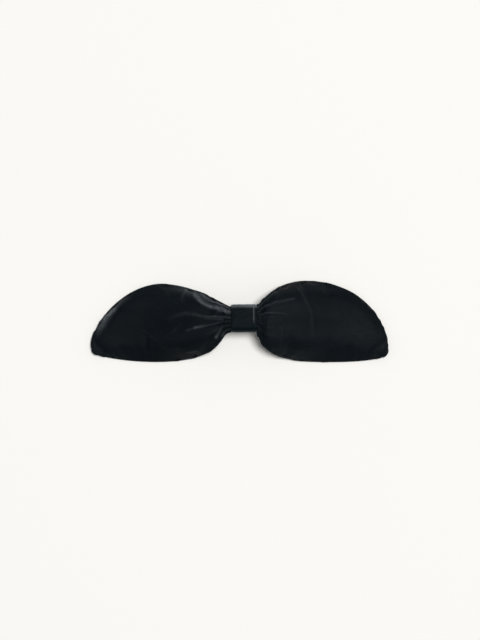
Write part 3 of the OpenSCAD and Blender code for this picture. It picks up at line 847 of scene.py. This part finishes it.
def knot_band():
    """The velvet strip, wrapped once round the knot and lapped over itself underneath."""
    strip = band_strip()
    place, out = knot_outline(0, BAND_POINTS)
    around = np.arange(len(place))
    y, z = place[:, 0] - KNOT_Y, place[:, 1]
    lapped = LAP_RISE * smooth_step(4.2, 3.4, np.abs(y - LAP_Y)) * (z < BAND_BOTTOM + 0.6)
    flared = FLARE_RISE * np.exp(-((y - 8.6) ** 2 + (z - BAND_TOP + 1.5) ** 2) / 2.2)
    along = np.repeat(strip[None, :, 0], len(place), axis=0)
    depth = np.repeat(strip[None, :, 1], len(place), axis=0)
    wave = np.stack([around * 0.24, np.zeros(len(place))], axis=1)
    cloth_place = np.repeat(wave[:, None], len(strip), axis=1) + strip[None, :, :1] * [0.5, 0.9]
    slack = 0.16 * ripple(cloth_place, 4.5, 6.6)
    ends = smooth_step(7, BAND_HALF_WIDTH, np.abs(along))
    along = along + ends * np.sign(along) * (0.18 * ripple(wave, 5, 8.2)[:, None] - 0.1)
    along = along - flared[:, None] * smooth_step(-6, -BAND_HALF_WIDTH, along)
    depth = depth + np.where(depth > -EDGE_ROUND, slack, 0) + lapped[:, None]
    points = np.empty(along.shape + (3,))
    points[..., 0] = KNOT_X + along
    points[..., 1:] = place[:, None] + out[:, None] * depth[..., None]
    faces = grid_faces(len(place), len(strip), close_rows=True, close_columns=True)
    band = make_piece("band_velvet_strip", points, faces, BAND_VELVET, "clip_base")
    # Painted highlight: a line along the right hem ridge and a band along the top shoulder, a weaker one
    # along the lower shoulder, fading towards the bottom of the band.
    outside = depth > -EDGE_ROUND
    on_top = smooth_step(-5, 0, y) * (z > BAND_TOP - 2)
    hem = np.exp(-((along - HEM_U) / 0.45) ** 2) * on_top[:, None]
    shoulder = smooth_step(0.25, 0.95, out[:, 0]) + 0.3 * smooth_step(0.6, 0.95, -out[:, 0])
    shoulder = shoulder * smooth_step(BAND_TOP - 8.5, BAND_TOP - 3.2, z)
    highlight_place = np.dstack([along * 0.8, np.repeat(wave[:, None, 0], len(strip), axis=1)])
    uneven = 1 + 0.5 * ripple(highlight_place, 2.6, 3.9)
    paint_highlight(band, outside * uneven * (HEM_HIGHLIGHT * hem + SHOULDER_HIGHLIGHT * shoulder[:, None]))
    return band


WAIST_HALF = 7.3       # half length of the bundle
WAIST_RINGS = 30
WAIST_POINTS = 240     # round it
WAIST_PLEATS = 26
PLEAT_HEIGHT = 0.22
PINCH = 0.25           # how far the wound thread pulls it in


def waist():
    """The gathers under the band, pleated into a tight bundle."""
    place, out = knot_outline(BAND_THICKNESS + 0.85, WAIST_POINTS, PLATE_TOP + 0.8)
    far = np.linspace(-WAIST_HALF, WAIST_HALF, WAIST_RINGS)
    around = np.arange(WAIST_POINTS) * 2 * math.pi / WAIST_POINTS
    pleat = PLEAT_HEIGHT * np.cos(around * WAIST_PLEATS)[None]
    pinch = -PINCH * np.exp(-(far / 3.6) ** 2)[:, None]
    swell = pleat * (0.6 + 0.4 * np.abs(far / WAIST_HALF))[:, None] + pinch
    points = np.empty((len(far), len(place), 3))
    points[..., 0] = KNOT_X + far[:, None]
    points[..., 1:] = place[None] + out[None] * swell[..., None]
    points[..., 2] = np.maximum(points[..., 2], PLATE_TOP + 0.7)
    faces = grid_faces(len(far), len(place), close_columns=True, flip=True)
    last = (len(far) - 1) * len(place)
    faces += [list(range(len(place))), list(range(last + len(place) - 1, last - 1, -1))]
    return make_piece("gathered_velvet", points, faces, VELVET, "clip_base")


BINDING_TURNS = 5
BINDING_PITCH = 1.6
BINDING_RADIUS = 0.24
BINDING_POINTS = 72    # in each turn
TAIL = 2.4             # length of each tail


def binding():
    """Thread wound round the gathers, with a tail at each end lying along them."""
    place, _ = knot_outline(BAND_THICKNESS + 0.4, BINDING_POINTS, PLATE_TOP + 0.32)
    turn = np.arange(BINDING_TURNS * BINDING_POINTS + 1)
    x = KNOT_X + (turn / BINDING_POINTS - BINDING_TURNS / 2) * BINDING_PITCH
    coil = np.column_stack([x, place[turn % BINDING_POINTS]])
    tail = np.linspace(0, TAIL, 7)[1:, None]
    lead = coil[0] - tail[::-1] * [1, 0.25, 0]
    trail = coil[-1] + tail * [1, 0.3, 0]
    points, faces = tube(np.concatenate([lead, coil, trail]), BINDING_RADIUS, 8)
    return make_piece("wound_thread", points, faces, THREAD, "clip_base")


STITCH_COUNT = 5
STITCH_PITCH = 2.6
STITCH_TURN = math.radians(28)
STITCH_RADIUS = 0.2
STITCH_REACH = 1.15


def hand_stitches():
    """Slanting whip stitches that close the band where it laps over itself."""
    parts = []
    for i in range(STITCH_COUNT):
        x = KNOT_X + (i - (STITCH_COUNT - 1) / 2) * STITCH_PITCH
        reach = np.linspace(-STITCH_REACH, STITCH_REACH, 11)
        slant = STITCH_TURN + 0.1 * math.sin(5.1 * i)
        rise = 0.3 * (np.abs(reach) / STITCH_REACH) ** 5
        line = np.stack([x + reach * math.sin(slant), KNOT_Y + LAP_Y + reach * math.cos(slant),
                         BAND_BOTTOM - STITCH_RADIUS - 0.12 + rise], axis=1)
        parts.append(tube(line, STITCH_RADIUS, 8))
    points, faces = join(parts)
    return make_piece("closing_whip_stitches", points, faces, THREAD, "clip_base")


band = knot_band()
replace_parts(band, "knot_band")
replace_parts(waist(), "gathered_waist")
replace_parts(binding(), "binding_thread")
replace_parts(hand_stitches(), "band_stitches")


# ---------------------------------------------------------------- stage, light and camera

def area_light(name, at, aim, size, power, colour):
    data = bpy.data.lights.new(name, "AREA")
    data.shape, data.size, data.energy, data.color = "DISK", size, power, colour
    lamp = bpy.data.objects.new(name, data)
    lamp.location = at
    lamp.rotation_euler = (Vector(aim) - Vector(at)).to_track_quat("-Z", "Y").to_euler()
    bpy.context.scene.collection.objects.link(lamp)


def floor_paper():
    """Pale paper with a fine grain."""
    made, tree, shader = material("floor_paper", (0.9, 0.89, 0.865), 0.75, Specular_IOR_Level=0.2)
    grain = noise_texture(tree, object_space(tree), 1.2, detail=5, roughness=0.6)
    fibre = ramp(tree, grain, (0.3, (0.896, 0.889, 0.866)), (0.7, (0.906, 0.899, 0.876)))
    tree.links.new(fibre, shader.inputs["Base Color"])
    bump(tree, shader, (grain, 0.02, 0.15))
    return made


FLOOR_REACH = 3000     # half of the floor's side
FLOOR_Z = -0.15
corners = [(x * FLOOR_REACH, y * FLOOR_REACH, FLOOR_Z) for x, y in ((-1, -1), (1, -1), (1, 1), (-1, 1))]
floor = make_piece("floor", corners, [[0, 1, 2, 3]], floor_paper(), None, smooth=False)

SKY_COLOUR, SKY_STRENGTH = (1.0, 0.996, 0.985), 0.28
LIGHT_COLOUR, LIGHT_POWER = (1, 0.995, 0.98), 855
LIGHT_AT, LIGHT_SIZE = (2.0, 1.2, 9.9), 3.9        # in metres

world = bpy.data.worlds.new("studio")
bpy.context.scene.world = world
world.use_nodes = True
sky = world.node_tree.nodes["Background"]
sky.inputs["Color"].default_value = (*SKY_COLOUR, 1)
sky.inputs["Strength"].default_value = SKY_STRENGTH
area_light("key_light", LIGHT_AT, (0, 0, 0), LIGHT_SIZE, LIGHT_POWER, LIGHT_COLOUR)
bpy.context.scene.view_settings.view_transform = "Standard"

# The camera looks straight down. Its frame is 336 mm wide and 448 mm high on the table.
CAMERA_LENS = 85
CAMERA_SENSOR = 36
FRAME_HEIGHT = 448
CAMERA_X, CAMERA_Y = 0.2, 1.0
camera_data = bpy.data.cameras.new("camera")
camera_data.lens, camera_data.sensor_width = CAMERA_LENS, CAMERA_SENSOR
camera = bpy.data.objects.new("camera", camera_data)
camera.location = (CAMERA_X * MM, CAMERA_Y * MM, FRAME_HEIGHT * CAMERA_LENS / CAMERA_SENSOR * MM)
bpy.context.scene.collection.objects.link(camera)
bpy.context.scene.camera = camera
